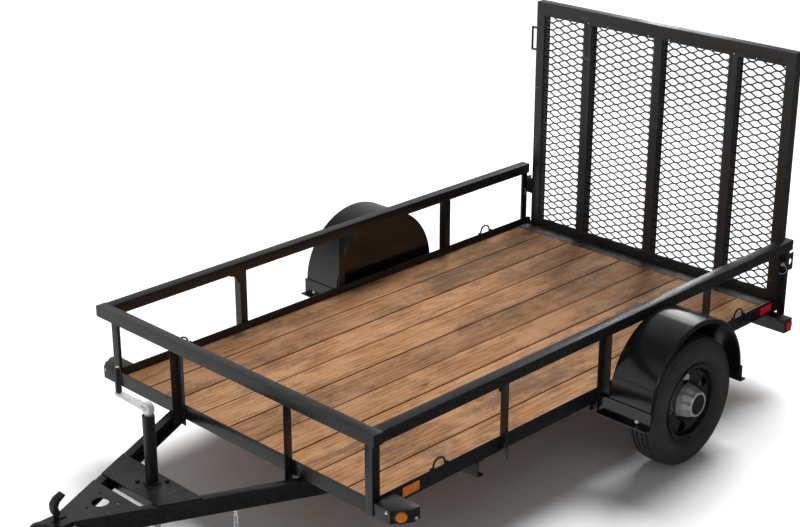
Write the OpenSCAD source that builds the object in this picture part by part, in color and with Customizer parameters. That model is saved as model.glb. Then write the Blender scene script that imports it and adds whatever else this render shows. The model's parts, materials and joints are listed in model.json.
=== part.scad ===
// Single-axle utility trailer: plank deck in an angle-iron frame, tube top rails
// and a mesh ramp gate. Sizes in millimetres. The bed frame is drawn with x from its
// rear end, y to the left and z from its underside, and bed() sets it on the floor.

/* [Bed] */
// Length of the bed frame, rear end to front member
bed_length = 2847; // [2450:1:3500]
// Width of the bed frame, outside to outside
bed_width = 1660; // [1400:1:2000]
// Height of the angle iron round the bed
frame_height = 69; // [60:1:90]
// Width of the bottom leg of that angle
frame_leg = 50; // [40:1:60]
// Thickness of the frame steel
frame_wall = 5; // [3:0.5:7]
// Number of deck planks
plank_count = 9; // [6:1:12]
// Thickness of a plank
plank_thick = 28; // [22:1:38]
// Gap between planks
plank_gap = 2.5; // [1:0.5:8]
// Depth of the steel sill behind the planks
sill_depth = 80; // [60:1:110]

/* [Rails and posts] */
// Height of the rail tops above the frame's underside
rail_top = 383; // [300:1:500]
// Side of the square rail tube
rail_size = 51; // [38:1:60]
// Wall of the rail tube
rail_wall = 3; // [2:0.5:4]
// How far the front rail reaches past the side rails at each end
rail_step = 6; // [0:1:10]
// Leg of the post angle
post_leg = 41; // [32:1:48]
// Thickness of the post angle
post_wall = 4; // [3:0.5:5]
// How far the side posts hang below the frame
post_drop = 30; // [5:1:40]

/* [Gate] */
// Height of the gate's top above the frame's underside
gate_top = 1308; // [900:1:1500]
// Gap between the gate and each side rail
gate_gap = 25; // [10:1:40]
// Leg of the gate's angle iron
gate_leg = 52; // [40:1:60]
// Thickness of the gate's angle iron
gate_wall = 5; // [3:0.5:6]
// Height of the angle along the gate's head
gate_head = 72; // [50:1:90]
// Height of the angle along the gate's foot
gate_foot = 70; // [50:1:90]
// How far the gate swings down to rest on the ground, degrees
gate_swing = 105; // [90:1:106]

/* [Wheels and axle] */
// Axle position, forward of the bed's rear end
axle_x = 1090; // [900:1:1300]
// Axle centre below the frame's underside
axle_drop = 45; // [42:1:90]
// Outer radius of the tyre
tyre_r = 306; // [290:1:345]
// Section width of the tyre
tyre_width = 176; // [150:1:190]
// Radius of the rim's outer flange
rim_r = 182; // [165:1:200]
// Width of the rim over its flanges
rim_width = 140; // [110:1:150]
// Wheel centre plane, out from the bed's side
wheel_offset = 188; // [180:1:230]
// Wheel bolt circle diameter
bolt_circle = 114.3; // [100:0.1:120]
// Diameter of the wheel bolt holes
bolt_hole = 13; // [12:0.5:16]
// Diameter of the axle tube
axle_tube = 60; // [50:1:64]

/* [Fenders] */
// Outer radius of the fender
fender_r = 345; // [335:1:400]
// Height of the fender's centre above the frame's underside
fender_rise = 10; // [-10:1:40]
// Width of the fender
fender_width = 230; // [200:1:260]
// Sheet thickness of the fender
fender_sheet = 2; // [1.5:0.5:4]

/* [Tongue] */
// Point ahead of the bed where the tongue's outer faces would meet
tongue_reach = 953; // [800:1:1200]
// Half angle of the tongue
tongue_angle = 25; // [20:1:30]
// Height of the tongue channel
channel_height = 76; // [60:1:100]
// Width of the channel's flanges
channel_flange = 38; // [30:1:50]
// Thickness of the channel
channel_wall = 5; // [4:0.5:7]
// Tow ball diameter
ball_dia = 50; // [47:0.1:60]
// Ball centre ahead of the bed
ball_reach = 968; // [800:1:1250]

/* [Jack] */
// Jack centre ahead of the bed
jack_reach = 443; // [380:1:600]
// Jack centre to the left of the trailer's centre line
jack_side = 18; // [0:1:24]
// Outer diameter of the jack tube
jack_tube = 51; // [45:1:60]
// Wall of the jack tube
jack_wall = 2.5; // [2:0.5:3]
// Height of the jack tube's top above the frame's underside
jack_top = 305; // [220:1:400]
// Length of the crank arm
crank_arm = 190; // [120:1:220]
// How far the jack leg can be wound up
jack_travel = 150; // [100:1:170]

/* [Hidden] */
$fn = 64;

steel = [0.075, 0.077, 0.08];
dark_steel = [0.05, 0.05, 0.052];
zinc = [0.72, 0.73, 0.74];
plank_brown = [0.5, 0.33, 0.21];
rubber = [0.045, 0.045, 0.047];
amber = [0.8, 0.38, 0.06];
red = [0.6, 0.04, 0.05];

run_fit = 0.05;      // radial play of a pin or shaft that turns
slide_play = 0.4;    // radial play of a telescoping tube
clear = 6;           // clearance of pieces that pass each other
fuse = 0.5;          // overlap that joins shapes of one piece

half_width = bed_width/2;
inner_half = half_width - frame_wall;
wheel_z = -axle_drop;
ride = tyre_r + axle_drop;
sill_back = 7;
sill_front = sill_back + sill_depth;
deck_top = frame_wall + plank_thick;
plank_pitch = 2*inner_half/plank_count;
plank_width = plank_pitch - plank_gap;
crossmember_at = [430, 800, 1330, 1790];     // angles that carry the planks
rail_half = half_width + rail_size - 2;      // outer face of the side rails
rail_under = rail_top - rail_size;
rail_front_x = bed_length + rail_size - 6;   // front face of the front rail
apex_x = bed_length + tongue_reach;
ball_x = bed_length + ball_reach;
jack_x = bed_length + jack_reach;
crossmember_x = bed_length - 607;            // front face of the tongue's crossmember
coupler_start = apex_x - 100;
nose_x = ball_x + ball_dia/2 + 22;
gate_half = rail_half - rail_size - gate_gap;
gate_x = -2;                                 // front face of the gate
pivot_x = gate_x - 18;
pivot_z = 24;
gate_low = pivot_z - 10;
lug_hole = 32;
latch_z = 250;
lug_z = 256;
lug_reach = 54;
rear_x = -max(lug_reach, gate_leg - gate_x);
wheel_y = half_width + wheel_offset;
hub_face = wheel_y + 6;                      // plane where the rim sits on the hub
spring_y = half_width - 26;
spring_half = 330;
spring_wide = 38;
leaf = 7;
spring_rise = 41;
spring_seat = axle_tube/2 + 4;
spring_top = wheel_z - spring_seat;
eye_z = spring_top - leaf/2 + spring_rise;
fender_in = half_width + post_leg + 9;
// side posts: x of the flange that stands out, and the way the flat leg runs from it
side_posts = [[8, 1], [680, -1], [1421, 1], [2107, -1]];
front_post_y = 367;
light_depth = 148;
light_long = 112;
light_chamfer = 72;
light_cut = 53;
light_top = 58;
light_face = atan2(light_chamfer, light_cut);
bar_half = half_width + 108;
bar_deep = 63;
bar_x = 42;

// Sets the bed frame's coordinates on the floor, with the origin below the middle
module bed() translate([-(nose_x + rear_x)/2, 0, ride]) children();
// Draws a left-hand piece on either side
module side(s) { if (s > 0) children(); else mirror([0, 1, 0]) children(); }
module both_sides() for (s = [1, -1]) side(s) children();
// Box from one corner to the other
module span(a, b) translate(a) cube(b - a);
// Bar that lies along y, centred on y
module rod_y(r, y0, y1) translate([0, y0, 0]) rotate([-90, 0, 0]) cylinder(r = r, h = y1 - y0);
module rod_x(r, x0, x1) translate([x0, 0, 0]) rotate([0, 90, 0]) cylinder(r = r, h = x1 - x0);
// Turned shape round the wheel's axle, its profile in (radius, outward)
module turned() rotate([-90, 0, 0]) rotate_extrude($fn = 96) children();

// ---- frame ----
module frame_side(s) side(s) {
    difference() {
        union() {
            span([0, inner_half, 0], [bed_length, half_width, frame_height]);
            span([0, half_width - frame_leg, 0], [bed_length, half_width, frame_wall]);
        }
        // the front member covers the corner
        span([bed_length - frame_wall, 0, -1], [bed_length + 1, half_width + 1, frame_height + 1]);
    }
    // end plate with the gate's hinge ear
    difference() {
        union() {
            span([-frame_wall, lug_in, 0], [fuse, half_width, frame_height]);
            span([pivot_x - 18, lug_in, pivot_z - 22], [fuse, lug_in + lug_thick, pivot_z + 22]);
        }
        translate([pivot_x, 0, pivot_z]) rod_y(hinge_bolt_r, lug_in - 1, lug_in + lug_thick + 1);
    }
}
module frame_side_left() color(steel) bed() frame_side(1);
module frame_side_right() color(steel) bed() frame_side(-1);

module frame_front() color(steel) bed() {
    span([bed_length - frame_wall, -half_width, 0], [bed_length, half_width, frame_height]);
    leg_half = half_width - frame_leg - 0.2;
    span([bed_length - frame_leg, -leg_half, 0], [bed_length, leg_half, frame_wall]);
}

module frame_rear_sill() color(steel) bed() {
    top_half = inner_half - 0.2;
    span([sill_back, -top_half, deck_top - frame_wall], [sill_front, top_half, deck_top]);
    span([sill_back, -top_half, frame_wall], [sill_back + frame_wall, top_half, deck_top]);
    // edge strip that the planks meet
    span([sill_front - frame_wall, -top_half, frame_wall], [sill_front, top_half, deck_top]);
}

module deck_crossmembers() color(dark_steel) bed() {
    leg_half = half_width - frame_leg - 0.2;
    for (x = crossmember_at) {
        span([x, -leg_half, 0], [x + 50, leg_half, frame_wall]);
        span([x, -leg_half, -45], [x + frame_wall, leg_half, frame_wall]);
    }
}

module deck_planks() color(plank_brown) bed()
    for (i = [0 : plank_count - 1]) {
        y = -inner_half + i*plank_pitch + plank_gap/2;
        span([sill_front + 1, y, frame_wall], [bed_length - frame_wall - 1, y + plank_width, deck_top]);
    }

// ---- tongue ----
// One channel with its web outward, cut off square with the bed at both ends
module channel_profile() difference() {
    translate([0, -channel_height]) square([channel_flange, channel_height]);
    translate([channel_wall, -channel_height + channel_wall])
        square([channel_flange, channel_height - 2*channel_wall]);
}
module tongue_member(s) side(s) intersection() {
    translate([apex_x, 0, 0]) rotate([0, 0, 180 - tongue_angle])
        rotate([90, 0, 90]) linear_extrude(apex_x) channel_profile();
    span([crossmember_x, 0.2, -channel_height - 1], [coupler_start - 12, half_width, 1]);
}
module tongue_left() color(steel) bed() tongue_member(1);
module tongue_right() color(steel) bed() tongue_member(-1);

module tongue_crossmember() color(steel) bed() translate([crossmember_x - 0.2, -half_width, 0])
    rotate([0, 0, 90]) rotate([90, 0, 90]) linear_extrude(bed_width) channel_profile();

coupler_wall = 5;
// round holes in the top plate: back from the coupler's start, to the left, radius
plate_holes = [[168, 0, 35], [106, 0, 6], [211, 58, 6], [211, -58, 6]];
coupler_back = coupler_start - 255;
socket_r = ball_dia/2 + 1;
function tongue_half(x) = (apex_x - x)*tan(tongue_angle);
module coupler_plan(grow = 0) polygon([
    [coupler_back, tongue_half(coupler_back) + grow], [coupler_start, tongue_half(coupler_start) + grow],
    [ball_x, tongue_half(coupler_start) + grow - 4], [ball_x, -tongue_half(coupler_start) - grow + 4],
    [coupler_start, -tongue_half(coupler_start) - grow], [coupler_back, -tongue_half(coupler_back) - grow]]);
module coupler() color(steel) bed() difference() {
    union() {
        linear_extrude(coupler_wall) coupler_plan();
        // side flanges welded along the tongue, and the channel that runs on to the nose
        difference() {
            translate([0, 0, -channel_height + 14]) linear_extrude(channel_height - 14 + coupler_wall)
                coupler_plan();
            translate([0, 0, -channel_height]) linear_extrude(channel_height) coupler_plan(-coupler_wall);
            span([0, -bed_width, -channel_height], [coupler_start + 0.3, bed_width, 0]);
        }
        // domed nose over the ball
        translate([ball_x, 0, -18]) {
            sphere(r = socket_r + coupler_wall + 16, $fn = 64);
            cylinder(r = socket_r + coupler_wall + 16, h = 18 + coupler_wall - 10);
        }
    }
    // the ball's seat, open below
    translate([ball_x, 0, -22]) {
        sphere(r = socket_r, $fn = 64);
        translate([0, 0, -60]) cylinder(r = socket_r, h = 60);
    }
    span([coupler_start + 0.3, -30, -channel_height - 1], [ball_x - socket_r - 8, 30, -0.1]);
    translate([0, 0, -100]) span([coupler_start, -80, 0], [nose_x + 60, 80, 62]);
    for (h = plate_holes)
        translate([coupler_start - h[0], h[1], -1]) cylinder(r = h[2], h = coupler_wall + 2);
    // slot for the latch lever and its pin
    span([latch_x - 45, -8.5, -50], [latch_x + 18, 8.5, 20]);
    translate([latch_x, 0, latch_pin_z]) rod_y(latch_pin_r + run_fit, -60, 60);
}
latch_x = coupler_start + 35;
latch_pin_z = -22;
latch_pin_r = 5;

// Lever that folds down over the nose, with its pin through the coupler's sides
module coupler_latch() color(dark_steel) bed() difference() {
    union() {
        translate([latch_x, 0, latch_pin_z]) rod_y(latch_pin_r, -50, 50);
        translate([0, 2.5, 0]) rotate([90, 0, 0]) linear_extrude(5) polygon([
            [latch_x - 12, latch_pin_z - 6], [latch_x + 12, latch_pin_z - 6], [latch_x + 12, 30],
            [latch_x + 18, 62], [latch_x + 16, 84], [latch_x - 2, 104], [latch_x - 34, 116],
            [latch_x - 38, 108], [latch_x - 10, 88], [latch_x - 2, 70], [latch_x - 12, 34]]);
        // broad hand grip above the slot
        translate([0, latch_half, 0]) rotate([90, 0, 0]) linear_extrude(2*latch_half) polygon([
            [latch_x - 11.5, 36], [latch_x + 12, 36], [latch_x + 18, 62], [latch_x + 16, 84],
            [latch_x - 2, 104], [latch_x - 34, 116], [latch_x - 38, 108], [latch_x - 10, 88],
            [latch_x - 2, 70]]);
    }
    // hollow behind the grip
    translate([0, latch_half - 4, 0]) rotate([90, 0, 0]) linear_extrude(2*latch_half - 8) polygon([
        [latch_x - 20, 40], [latch_x + 7, 40], [latch_x + 12, 62], [latch_x + 10, 80],
        [latch_x - 4, 92], [latch_x - 20, 80]]);
}
latch_half = 17;

// ---- jack ----
mount_x0 = jack_x - 62;
mount_x1 = jack_x + 102;
module jack_mount() color(steel) bed() difference() {
    union() {
        linear_extrude(6) polygon([for (q = [[mount_x0, 1], [mount_x1, 1], [mount_x1, -1], [mount_x0, -1]])
            [q[0], q[1]*(tongue_half(q[0]) - 4)]]);
        for (x = [mount_x0, mount_x1 - 6])
            span([x, -tongue_half(x + 6) + channel_flange/cos(tongue_angle) + 2, -30],
                [x + 6, tongue_half(x + 6) - channel_flange/cos(tongue_angle) - 2, 6]);
    }
    translate([jack_x, jack_side, -40]) cylinder(d = jack_tube + 1, h = 60);
}
jack_low = -150;
module jack_outer_tube() color(dark_steel) bed() translate([jack_x, jack_side, 0]) difference() {
    union() {
        translate([0, 0, jack_low]) cylinder(d = jack_tube, h = jack_top - jack_low);
        translate([0, 0, 6]) cylinder(d = jack_tube + 24, h = 8);
    }
    translate([0, 0, jack_low - 1]) cylinder(d = jack_tube - 2*jack_wall, h = jack_top - jack_low - 4);
    // bearing bore for the screw's head
    translate([0, 0, jack_top - 20]) cylinder(r = 9 + run_fit, h = 30);
}
leg_d = jack_tube - 2*jack_wall - 2*slide_play;
module jack_leg() color(zinc) bed() translate([jack_x, jack_side, 0]) {
    difference() {
        translate([0, 0, -ride + 6]) cylinder(d = leg_d, h = ride - 6 + 90);
        translate([0, 0, -ride + 30]) cylinder(d = leg_d - 5, h = ride + 100);
    }
    translate([0, 0, -ride]) cylinder(d = 118, h = 7);
    translate([0, 0, -ride + 7 - fuse]) cylinder(d = 62, h = 12);
}
head_z = jack_top + 1;
head_r = 27;
head_half = 15;
arm_half = 20;
module jack_crank() color(zinc) bed() translate([jack_x, jack_side, 0]) {
    translate([0, 0, jack_top - 40]) cylinder(r = 9, h = 42);
    translate([0, 0, head_z]) cylinder(r = 15, h = 10);
    // rounded head and its rivet
    translate([0, 0, head_z + head_r + 3]) {
        rod_x(head_r, -head_half, head_half);
        rod_x(6, -head_half - 4, head_half + 4);
    }
    span([-head_half, -head_r + 1, head_z + 9], [head_half, head_r - 1, head_z + head_r + 3]);
    // channel arm, open below and narrower at the grip
    translate([0, 0, head_z + 22]) difference() {
        linear_extrude(14) polygon([[-arm_half, 0], [arm_half, 0], [13, -crank_arm - 12],
            [-13, -crank_arm - 12]]);
        translate([0, 0, -3]) linear_extrude(14) polygon([[-arm_half + 3, -head_r - 3],
            [arm_half - 3, -head_r - 3], [10, -crank_arm - 20], [-10, -crank_arm - 20]]);
    }
    translate([0, -crank_arm, head_z + 22]) {
        cylinder(r = 6, h = 125);
        translate([0, 0, 8]) cylinder(r = 13, h = 108);
    }
}

// ---- rails and posts ----
module drain(p) translate(p) translate([0, 0, -rail_wall]) cylinder(r = 3, h = 3*rail_wall);
// Square tube with capped ends and a drain hole near each end
module rail_tube(a, b, along) difference() {
    span(a, b);
    inset = [rail_wall, rail_wall, rail_wall];
    span(a + inset, b - inset);
    mid = (a + b)/2;
    for (e = [0, 1]) {
        p = (along == "x") ? [e == 0 ? a[0] + 60 : b[0] - 60, mid[1], a[2]]
            : [mid[0], e == 0 ? a[1] + 60 : b[1] - 60, a[2]];
        drain(p);
    }
}
rail_end_x = rail_front_x - rail_size - 0.2;
module side_rail(s) side(s) rail_tube([-5, rail_half - rail_size, rail_under], [rail_end_x, rail_half, rail_top], "x");
module rail_left() color(steel) bed() side_rail(1);
module rail_right() color(steel) bed() side_rail(-1);
module rail_front() color(steel) bed()
    rail_tube([rail_front_x - rail_size, -rail_half - rail_step, rail_under],
        [rail_front_x, rail_half + rail_step, rail_top], "y");

// Angle with its corner at the origin, legs along +x and +y
module angle(h) {
    cube([post_leg, post_wall, h]);
    cube([post_wall, post_leg, h]);
}
post_gap = 0.1;
module side_post(p) {
    // the flat leg of the rearmost one stops above the light bar
    drop = p[0] < bar_x ? 0 : post_drop;
    high = rail_under + drop - post_gap;
    translate([p[0], half_width + post_gap, -drop])
        if (p[1] > 0) angle(high); else mirror([1, 0, 0]) angle(high);
    if (drop == 0)
        span([p[0], half_width + post_gap, -post_drop], [p[0] + post_wall, half_width + post_gap + post_leg, fuse]);
}
module side_posts_all() {
    for (p = side_posts) side_post(p);
    // corner post wraps the outside of the frame
    translate([bed_length + post_wall + post_gap, half_width + post_wall + post_gap, 0]) rotate([0, 0, 180])
        angle(rail_under - post_gap);
    // curved gusset at the head of the front side post
    translate([side_posts[3][0] - fuse, half_width + post_gap + post_wall, rail_under - post_gap]) gusset();
}
module gusset() rotate([90, 0, 0]) linear_extrude(post_wall) difference() {
    translate([0, -gusset_high]) square([gusset_long, gusset_high]);
    translate([gusset_long, -gusset_high]) circle(r = gusset_high - 8);
}
gusset_long = 58;
gusset_high = 52;
lock_pin_y = half_width + 14;
module rear_pin_holes() translate([0, lock_pin_y, latch_z]) rod_x(6.5, side_posts[0][0] - 2, side_posts[0][0] + 8);
module posts_left() color(steel) bed() difference() { side_posts_all(); rear_pin_holes(); }
module posts_right() color(steel) bed() mirror([0, 1, 0]) difference() { side_posts_all(); rear_pin_holes(); }

module posts_front() color(steel) bed() both_sides()
    translate([bed_length + post_gap, front_post_y, -post_drop]) mirror([0, 1, 0]) angle(rail_under + post_drop - post_gap);

// ---- fenders ----
fender_z = fender_rise;
lip_deep = 20;
module fender(s) side(s) translate([axle_x, fender_in, fender_z]) {
    r = fender_r;
    t = fender_sheet;
    w = fender_width;
    bead = 10;
    // half a drum with an inner wall and a rolled edge, then straight down
    edge = concat(arc(r - bead, w - bead, bead, 0, 90, 5), [[r - lip_deep, w], [r - lip_deep, w - t]],
        arc(r - bead, w - bead, bead - t, 90, 0, 5), [[r - t, t]]);
    rotate([90, 0, 0]) mirror([0, 0, 1]) rotate_extrude(angle = 180, $fn = 128)
        polygon(concat([[0, 0], [r, 0]], edge, [[0, t]]));
    half = concat([[r, 0]], edge);
    translate([0, 0, -fender_skirt]) linear_extrude(fender_skirt)
        polygon(concat(half, [for (k = [len(half) - 1 : -1 : 0]) [-half[k][0], half[k][1]]]));
}
fender_skirt = 30;
module fender_left() color(steel) bed() { fender(1); fender_brace(); }
module fender_right() color(steel) bed() { fender(-1); mirror([0, 1, 0]) fender_brace(); }
// Angle brackets that carry the fender's ends from the frame
module fender_brace() {
    y1 = fender_in + fender_width + 2;
    for (x = [axle_x - fender_r - 0.2, axle_x + fender_r + 0.2]) {
        d = sign(x - axle_x);
        // the front one is welded to a post, the rear one to the frame
        y0 = half_width + (d > 0 ? post_wall + 0.3 : 0.2);
        span([min(x, x + d*6), y0, fender_z - 62], [max(x, x + d*6), y1, fender_z + 18]);
        span([min(x, x + d*38), y0, fender_z - 62], [max(x, x + d*38), y1, fender_z - 56]);
    }
}

// ---- axle and springs ----
spindle_r = 17.5;
axle_end = half_width + 40;
module axle() color(dark_steel) bed() translate([axle_x, 0, wheel_z]) {
    rod_y(axle_tube/2, -axle_end, axle_end);
    both_sides() rod_y(spindle_r, axle_end - 5, hub_face + 28);
}
module spring_arc(half, level, wide) {
    big_r = (spring_half*spring_half + spring_rise*spring_rise)/(2*spring_rise);
    a = asin(half/big_r);
    translate([axle_x, spring_y, spring_top - leaf/2 + big_r]) rotate([90, 0, 0])
        translate([0, 0, -wide/2]) rotate([0, 0, -90 - a])
            rotate_extrude(angle = 2*a, $fn = 360) translate([big_r - leaf/2 + level*leaf, 0])
                square([leaf, wide]);
}
eye_r = 15;
eye_bore = 14.3/2;
module spring(s) side(s) difference() {
    union() {
        spring_arc(spring_half, 0, spring_wide);
        spring_arc(spring_half*0.68, 1, spring_wide);
        spring_arc(spring_half*0.4, 2, spring_wide);
        translate([axle_x + spring_half, 0, eye_z]) rod_y(eye_r, spring_y - spring_wide/2, spring_y + spring_wide/2);
    }
    translate([axle_x + spring_half, 0, eye_z]) rod_y(eye_bore, 0, half_width + 50);
}
module springs() color(dark_steel) bed() for (s = [1, -1]) spring(s);
hanger_sheet = 4;
module hanger(x, low) for (m = [-1, 1]) {
    y = spring_y + m*(spring_wide/2 + 1 + hanger_sheet/2);
    span([x - 26, y - hanger_sheet/2, low], [x + 26, y + hanger_sheet/2, -0.2]);
}
module spring_hangers() both_sides() {
    // eye end, with its bolt
    difference() {
        hanger(axle_x + spring_half, eye_z - 24);
        translate([axle_x + spring_half, 0, eye_z]) rod_y(eye_bore - 0.15, 0, half_width + 50);
    }
    translate([axle_x + spring_half, 0, eye_z]) {
        rod_y(eye_bore - 0.15, spring_y - spring_wide/2 - 12, spring_y + spring_wide/2 + 12);
    }
    // slipper end, with a cross bolt below the leaf
    hanger(axle_x - spring_half + 8, eye_z - 30);
    translate([axle_x - spring_half + 8, 0, eye_z - 20])
        rod_y(5, spring_y - spring_wide/2 - 12, spring_y + spring_wide/2 + 12);
}
clamp_low = spring_top - 3*leaf - 0.5;
module axle_clamps() both_sides() {
    span([axle_x - 48, spring_y - 40, clamp_low - 8], [axle_x + 48, spring_y + 40, clamp_low]);
    // seat between the axle and the spring
    difference() {
        span([axle_x - 27, spring_y - 17, spring_top + 0.2], [axle_x + 27, spring_y + 17, spring_top + 12]);
        translate([axle_x, 0, wheel_z]) rod_y(axle_tube/2 + 0.2, 0, half_width + 100);
    }
    for (m = [-1, 1]) translate([axle_x, spring_y + m*(spring_wide/2 + 7.5), wheel_z]) {
        // U bolt over the axle
        rotate([90, 0, 0]) rotate_extrude(angle = 180) translate([axle_tube/2 + 5.3, 0]) circle(r = 5, $fn = 24);
        for (k = [-1, 1]) translate([k*(axle_tube/2 + 5.3), 0, clamp_low - 26 - wheel_z])
            cylinder(r = 5, h = wheel_z - clamp_low + 26);
    }
}

module spring_fittings() color(dark_steel) bed() { spring_hangers(); axle_clamps(); }

// ---- wheels ----
bead_r = rim_r - 17;
function arc(x, y, r, a0, a1, n) =
    [for (i = [0 : n]) let(a = a0 + (a1 - a0)*i/n) [x + r*cos(a), y + r*sin(a)]];
module tyre(s) side(s) translate([axle_x, wheel_y, wheel_z]) {
    w = tyre_width/2;
    b = rim_width/2 - 13.3;
    shoulder = 18;
    belly = (tyre_r + bead_r)/2;
    outside = concat([[bead_r + 0.3, b - 20], [bead_r + 0.3, b], [rim_r + 1, b + 3]],
        arc(belly, w - 46, 46, 150, 62, 10), arc(tyre_r - shoulder, w - 34, shoulder, 62, 5, 5),
        [[tyre_r, w - 40]]);
    inside = concat([[bead_r + 0.1, b - 20]], arc(belly, w - 56, 42, 150, 62, 8), [[tyre_r - 16, w - 50]]);
    turned() difference() {
        polygon(concat(outside, [for (i = [len(outside) - 1 : -1 : 0]) [outside[i][0], -outside[i][1]]]));
        polygon(concat(inside, [for (i = [len(inside) - 1 : -1 : 0]) [inside[i][0], -inside[i][1]]]));
    }
}
module tyre_left() color(rubber) bed() tyre(1);
module tyre_right() color(rubber) bed() tyre(-1);

hand_holes = 5;
hand_turn = 57;
hand_r = 27;
hand_ring = rim_r - 60;
bowl = 40;           // how far the disc comes out beyond the hub face
rim_bore = 42;
disc = 4;
module rim(s) side(s) translate([axle_x, wheel_y, wheel_z]) difference() {
    h = rim_width/2;
    t = 3.5;
    face = hub_face - wheel_y;
    union() {
        turned() polygon([[rim_r, -h], [rim_r, -h + 3], [bead_r + 2, -h + 9], [bead_r, -h + 13],
            [bead_r, -26], [bead_r - 18, -16], [bead_r - 18, 16], [bead_r, 30], [bead_r, h - 13],
            [bead_r + 2, h - 9], [rim_r, h - 3], [rim_r, h],
            [bead_r - 3, h - 7], [bead_r - t, h - 13], [bead_r - t, 31], [bead_r - 18 - t, 17],
            [bead_r - 18 - t, -17], [bead_r - t, -27], [bead_r - t, -h + 13], [bead_r - 3, -h + 7]]);
        // disc: flat at the hub, a bowl, then a raised ring out to the barrel
        turned() polygon([[rim_bore, face], [86, face], [97, face + bowl - 10], [108, face + bowl],
            [bead_r - 25, face + bowl], [bead_r - 13, face + bowl - 8], [bead_r - 5, face + bowl - 15.5],
            [bead_r - 2.5, face + bowl - 15.5], [bead_r - 2.5, face + bowl - 12],
            [bead_r - 11, face + bowl - 3], [bead_r - 23.5, face + bowl + disc],
            [106.5, face + bowl + disc], [94, face + bowl - 10 + disc], [84, face + disc],
            [rim_bore, face + disc]]);
    }
    for (i = [0 : hand_holes - 1]) rotate([0, i*360/hand_holes - hand_turn, 0])
        translate([0, 0, hand_ring]) rod_y(hand_r, -10, 60);
    for (i = [0 : 4]) rotate([0, i*72, 0]) translate([0, 0, bolt_circle/2]) rod_y(bolt_hole/2, -20, 60);
}
module rim_left() color(dark_steel) bed() rim(1);
module rim_right() color(dark_steel) bed() rim(-1);

hub_in = fender_in + fender_sheet + clear;
module hub(s) side(s) translate([axle_x, 0, wheel_z]) {
    difference() {
        union() {
            rod_y(38, hub_in, hub_face - 0.2);
            rod_y(74, hub_face - 12, hub_face - 0.2);
            rod_y(30, hub_face - 1, hub_face + 36);
        }
        rod_y(spindle_r + run_fit, hub_in - 1, hub_face + 30);
    }
    for (i = [0 : 4]) rotate([0, i*72, 0]) translate([0, 0, bolt_circle/2])
        rod_y(6, hub_face - 2, hub_face + 30);
}
module hub_left() color(dark_steel) bed() hub(1);
module hub_right() color(dark_steel) bed() hub(-1);

// Scalloped cover over the hub and the wheel nuts
cap_base = hub_face + disc + 0.2;
cap_out = wheel_y + 102;
module hub_cap(s) side(s) translate([axle_x, cap_base, wheel_z]) {
    n = cap_out - cap_base;
    difference() {
        turned() polygon([[0, n], [54, n], [58, n - 3], [60, n - 34], [80, n - 46], [82, 0], [79, 0],
            [77, n - 49], [57, n - 37], [55, n - 5], [52, n - 3], [0, n - 3]]);
        for (i = [0 : 9]) rotate([0, i*36, 0]) translate([0, 0, 95]) rod_y(17, -1, n - 30);
    }
}
module hub_cap_left() color(zinc) bed() hub_cap(1);
module hub_cap_right() color(zinc) bed() hub_cap(-1);

// ---- lights ----
module marker_boxes() color(steel) bed() both_sides() difference() {
    y1 = half_width + light_depth;
    x0 = bed_length - light_long;
    xc = bed_length - light_chamfer;
    yc = y1 - light_cut;
    back = bed_length - post_leg - 4;
    root_y = half_width + post_wall + 1;
    linear_extrude(light_top) polygon([[x0, half_width + 0.2], [x0, y1], [xc, y1], [bed_length, yc],
        [bed_length, root_y], [back, root_y], [back, half_width + 0.2]]);
    // open below, where the wires come in
    translate([0, 0, -1]) linear_extrude(light_top - 2) polygon([[x0 + 3, root_y + 3], [x0 + 3, y1 - 3],
        [xc - 1, y1 - 3], [bed_length - 3, yc - 1], [bed_length - 3, root_y + 3]]);
}
reflector_front = bed_length - 256;
reflector_rear = 73;
module side_reflector(x, long) span([x, half_width + 0.2, 16], [x + long, half_width + 6, 56]);
module amber_lenses() color(amber) bed() both_sides() {
    translate([bed_length - light_chamfer/2, half_width + light_depth - light_cut/2, light_top/2])
        rotate([0, 0, light_face]) rod_x(24, 0.3, 11);
    side_reflector(reflector_front, 93);
}
module tail_bar() color(steel) bed() difference() {
    span([bar_x, -bar_half, -68], [bar_x + bar_deep, bar_half, -0.2]);
    span([bar_x + 3, -bar_half + 3, -65], [bar_x + bar_deep - 3, bar_half - 3, -3.2]);
    for (s = [-1, 1]) translate([bar_x + bar_deep/2, s*(bar_half - 40), -80]) cylinder(r = 3, h = 20);
}
module red_lenses() color(red) bed() both_sides() {
    translate([bar_x + bar_deep/2, 0, -34]) rod_y(24, bar_half + 0.2, bar_half + 12);
    span([bar_x - 12, bar_half - 175, -60], [bar_x - 0.2, bar_half - 20, -14]);
    side_reflector(reflector_rear, 96);
}

// ---- tie-down loops ----
loop_x = [360, 2471];
loop_rod = 4.5;
module tie_loop() {
    r = 34;
    foot_z = loop_rod;
    arch_z = 45 - r - loop_rod;
    translate([0, 0, arch_z]) rotate([90, 0, 0]) rotate_extrude(angle = 180) translate([r, 0])
        circle(r = loop_rod, $fn = 24);
    for (m = [-1, 1]) {
        translate([m*r, 0, foot_z]) cylinder(r = loop_rod, h = arch_z - foot_z + 0.01, $fn = 24);
        translate([m*r, 0, foot_z]) sphere(r = loop_rod, $fn = 24);
        translate([m*(r + 9), 0, foot_z]) rod_x(loop_rod, -9, 9);
    }
}
module tie_loops() color(steel) bed() both_sides()
    for (x = loop_x) translate([x, half_width - frame_wall/2, frame_height]) tie_loop();

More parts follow.
